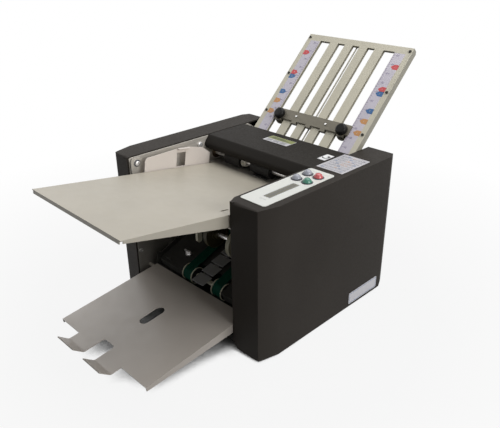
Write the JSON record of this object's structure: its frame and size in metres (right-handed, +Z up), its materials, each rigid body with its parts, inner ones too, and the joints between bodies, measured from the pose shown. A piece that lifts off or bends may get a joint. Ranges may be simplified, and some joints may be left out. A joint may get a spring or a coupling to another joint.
{
  "type": "paper folding machine",
  "caption": "Desktop paper folding machine with a sloping feed table, rollers under a hinged cover, a slotted fold plate with a clamped stop bar, a belt conveyor and a low exit tray.",
  "frame": {"origin": "centre of the footprint on the table, under the feet", "axes": "+X towards the control panel side, +Y the way the sheets are fed, from the front to the back, +Z up"},
  "size_m": [0.3664, 0.6642, 0.4195],
  "materials": {
    "charcoal_paint": "fine leather-grain texture, satin",
    "beige_paint": "smooth semi-gloss enamel",
    "tray_paint": "smooth satin enamel",
    "plate_paint": "smooth semi-gloss enamel",
    "plate_steel": "zinc-plated sheet, satin",
    "dark_steel": "black powder coat, matt",
    "bright_steel": "ground and polished",
    "stop_metal": "dark bronze anodised, satin",
    "roller_rubber": "ground rubber, matt",
    "black_rubber": "moulded, matt",
    "belt_green": "fabric-backed belt, satin",
    "black_plastic": "moulded, satin",
    "cream_plastic": "moulded acetal, satin",
    "bed_plastic": "moulded, satin",
    "membrane": "printed film, satin",
    "display_glass": "clear film over a liquid-crystal display",
    "scale_film": "printed film, satin",
    "label_film": "printed film, satin",
    "wheel_brown": "moulded, satin",
    "button_green": "moulded, glossy",
    "button_red": "moulded, glossy",
    "button_grey": "moulded, glossy",
    "board_green": "solder-resist laminate",
    "bush_bronze": "sintered bronze"
  },
  "bodies": {
    "chassis": {"base_plate": "dark_steel", "left_side_plate": "plate_steel", "right_side_plate": "plate_steel", "tie_rods": "bright_steel", "cross_beam": "plate_steel", "rear_panel": "dark_steel", "left_cover": "charcoal_paint", "right_cover": "charcoal_paint", "screws": "bright_steel", "rubber_feet": "black_rubber", "control_panel": "membrane", "display_window": "display_glass", "cover_plates": "label_film", "circuit_boards": "board_green", "power_inlet": "black_plastic", "shaft_bushes": "bush_bronze", "separator_spring": "bright_steel", "motor": "dark_steel", "drive_belt": "black_rubber", "upper_plate_front": "plate_paint", "upper_plate_back": "plate_paint", "plate_screws": "dark_steel", "scale_strips": "scale_film", "lower_fold_plate": "plate_paint", "conveyor_frame": "dark_steel", "exit_bed": "bed_plastic", "exit_belts": "belt_green"},
    "main_roller": {"main_fold_roller": "roller_rubber", "main_drive_gear": "cream_plastic"},
    "upper_roller": {"upper_fold_roller": "roller_rubber"},
    "rear_roller": {"rear_fold_roller": "roller_rubber"},
    "lower_roller": {"lower_fold_roller": "roller_rubber"},
    "feed_idler": {"feed_idler_gear": "cream_plastic"},
    "feed_roller": {"feed_shaft": "bright_steel", "feed_rollers": "roller_rubber", "feed_collars": "cream_plastic", "feed_gear": "cream_plastic"},
    "exit_idler": {"exit_idler_gear": "cream_plastic"},
    "exit_drive": {"rear_exit_roller": "cream_plastic"},
    "exit_front": {"front_exit_roller": "cream_plastic"},
    "motor_pulley": {"motor_pulley": "bright_steel"},
    "left_stacker_wheel": {"left_stacker_wheel": "wheel_brown"},
    "right_stacker_wheel": {"right_stacker_wheel": "cream_plastic"},
    "guide_finger": {"guide_finger": "cream_plastic"},
    "top_cover": {"top_cover": "charcoal_paint", "cover_labels": "label_film"},
    "feed_table": {"feed_table": "beige_paint", "table_bracket": "beige_paint", "paper_guides": "plate_steel"},
    "exit_tray": {"exit_tray": "tray_paint"},
    "start_button": {"start_button": "button_green"},
    "stop_button": {"stop_button": "button_red"},
    "mode_button": {"mode_button": "button_grey"},
    "count_button": {"count_button": "button_grey"},
    "power_switch": {"power_switch": "black_plastic"},
    "separator": {"separator": "roller_rubber"},
    "upper_stop": {"upper_stop_bar": "stop_metal"},
    "left_stop_knob": {"left_stop_knob": "black_plastic"},
    "right_stop_knob": {"right_stop_knob": "black_plastic"},
    "lower_stop": {"lower_stop_bar": "stop_metal"}
  },
  "joints": [
    {"name": "main_roller_spin", "type": "hinge", "parent": "chassis", "child": "main_roller", "pos_m": [0.0021, 0.12865, 0.20343], "axis": [1, 0, 0], "continuous": true},
    {"name": "upper_roller_spin", "type": "hinge", "parent": "chassis", "child": "upper_roller", "pos_m": [0.0021, 0.10777, 0.22497], "axis": [1, 0, 0], "continuous": true},
    {"name": "rear_roller_spin", "type": "hinge", "parent": "chassis", "child": "rear_roller", "pos_m": [0.0021, 0.15748, 0.2117], "axis": [1, 0, 0], "continuous": true},
    {"name": "lower_roller_spin", "type": "hinge", "parent": "chassis", "child": "lower_roller", "pos_m": [0.0021, 0.12865, 0.17343], "axis": [1, 0, 0], "continuous": true},
    {"name": "feed_idler_spin", "type": "hinge", "parent": "chassis", "child": "feed_idler", "pos_m": [0.0021, 0.08851, 0.20826], "axis": [1, 0, 0], "continuous": true},
    {"name": "feed_roller_spin", "type": "hinge", "parent": "chassis", "child": "feed_roller", "pos_m": [0.0021, 0.06981, 0.2256], "axis": [1, 0, 0], "continuous": true},
    {"name": "exit_idler_spin", "type": "hinge", "parent": "chassis", "child": "exit_idler", "pos_m": [0.0021, 0.11076, 0.14393], "axis": [1, 0, 0], "continuous": true},
    {"name": "exit_drive_spin", "type": "hinge", "parent": "chassis", "child": "exit_drive", "pos_m": [0.0021, 0.08579, 0.12012], "axis": [1, 0, 0], "continuous": true},
    {"name": "exit_front_spin", "type": "hinge", "parent": "chassis", "child": "exit_front", "pos_m": [0.0021, -0.07919, 0.058], "axis": [1, 0, 0], "continuous": true},
    {"name": "motor_pulley_spin", "type": "hinge", "parent": "chassis", "child": "motor_pulley", "pos_m": [0.0021, 0.06579, 0.046], "axis": [1, 0, 0], "continuous": true},
    {"name": "left_stacker_wheel_spin", "type": "hinge", "parent": "chassis", "child": "left_stacker_wheel", "pos_m": [0.0191, -0.06919, 0.1555], "axis": [1, 0, 0], "continuous": true},
    {"name": "right_stacker_wheel_spin", "type": "hinge", "parent": "chassis", "child": "right_stacker_wheel", "pos_m": [0.0721, -0.06919, 0.1555], "axis": [1, 0, 0], "continuous": true},
    {"name": "guide_finger_swing", "type": "hinge", "parent": "chassis", "child": "guide_finger", "pos_m": [-0.0274, -0.06919, 0.1555], "axis": [-1, 0, 0], "range_deg": [0, 70]},
    {"name": "top_cover_hinge", "type": "hinge", "parent": "chassis", "child": "top_cover", "pos_m": [0.0021, 0.13881, 0.255], "axis": [-1, 0, 0], "range_deg": [0, 70]},
    {"name": "feed_table_tilt", "type": "hinge", "parent": "chassis", "child": "feed_table", "pos_m": [0.0021, -0.11399, 0.2529], "axis": [-1, 0, 0], "range_deg": [0, 2.5]},
    {"name": "exit_tray_fold", "type": "hinge", "parent": "chassis", "child": "exit_tray", "pos_m": [0.0021, -0.10439, 0.048], "axis": [-1, 0, 0], "range_deg": [0, 45]},
    {"name": "start_button_press", "type": "slide", "parent": "chassis", "child": "start_button", "axis": [0, 0, -1], "range_m": [0, 0.0018], "stiffness_N_per_m": 300, "springref_m": -0.001},
    {"name": "stop_button_press", "type": "slide", "parent": "chassis", "child": "stop_button", "axis": [0, 0, -1], "range_m": [0, 0.0018], "stiffness_N_per_m": 300, "springref_m": -0.001},
    {"name": "mode_button_press", "type": "slide", "parent": "chassis", "child": "mode_button", "axis": [0, 0, -1], "range_m": [0, 0.0018], "stiffness_N_per_m": 300, "springref_m": -0.001},
    {"name": "count_button_press", "type": "slide", "parent": "chassis", "child": "count_button", "axis": [0, 0, -1], "range_m": [0, 0.0018], "stiffness_N_per_m": 300, "springref_m": -0.001},
    {"name": "power_switch_rock", "type": "hinge", "parent": "chassis", "child": "power_switch", "pos_m": [0.1561, 0.20331, 0.102], "axis": [1, 0, 0], "range_deg": [0, 22]},
    {"name": "separator_press", "type": "slide", "parent": "chassis", "child": "separator", "axis": [0, 0, -1], "range_m": [0, 0.003], "stiffness_N_per_m": 250, "springref_m": -0.002, "deforming": ["separator_spring"]},
    {"name": "upper_stop_slide", "type": "slide", "parent": "chassis", "child": "upper_stop", "axis": [0, 0.7181, 0.6959], "range_m": [-0.025, 0.125]},
    {"name": "left_stop_knob_turn", "type": "hinge", "parent": "upper_stop", "child": "left_stop_knob", "pos_m": [-0.0729, 0.18833, 0.28626], "axis": [0, -0.6959, 0.7181], "range_deg": [0, 180]},
    {"name": "right_stop_knob_turn", "type": "hinge", "parent": "upper_stop", "child": "right_stop_knob", "pos_m": [0.0771, 0.18833, 0.28626], "axis": [0, -0.6959, 0.7181], "range_deg": [0, 180]},
    {"name": "lower_stop_slide", "type": "slide", "parent": "chassis", "child": "lower_stop", "axis": [0, 0.2756, -0.9613], "range_m": [-0.05, 0.028]}
  ],
  "couplings": [
    {"joint": "upper_roller_spin", "follows": "main_roller_spin", "ratio": -1},
    {"joint": "rear_roller_spin", "follows": "main_roller_spin", "ratio": -1},
    {"joint": "lower_roller_spin", "follows": "main_roller_spin", "ratio": -1},
    {"joint": "feed_idler_spin", "follows": "main_roller_spin", "ratio": 1.4286},
    {"joint": "feed_roller_spin", "follows": "main_roller_spin", "ratio": -1},
    {"joint": "exit_idler_spin", "follows": "main_roller_spin", "ratio": 0.76923},
    {"joint": "exit_drive_spin", "follows": "main_roller_spin", "ratio": -1},
    {"joint": "exit_front_spin", "follows": "main_roller_spin", "ratio": -1},
    {"joint": "motor_pulley_spin", "follows": "main_roller_spin", "ratio": 1.9259}
  ]
}
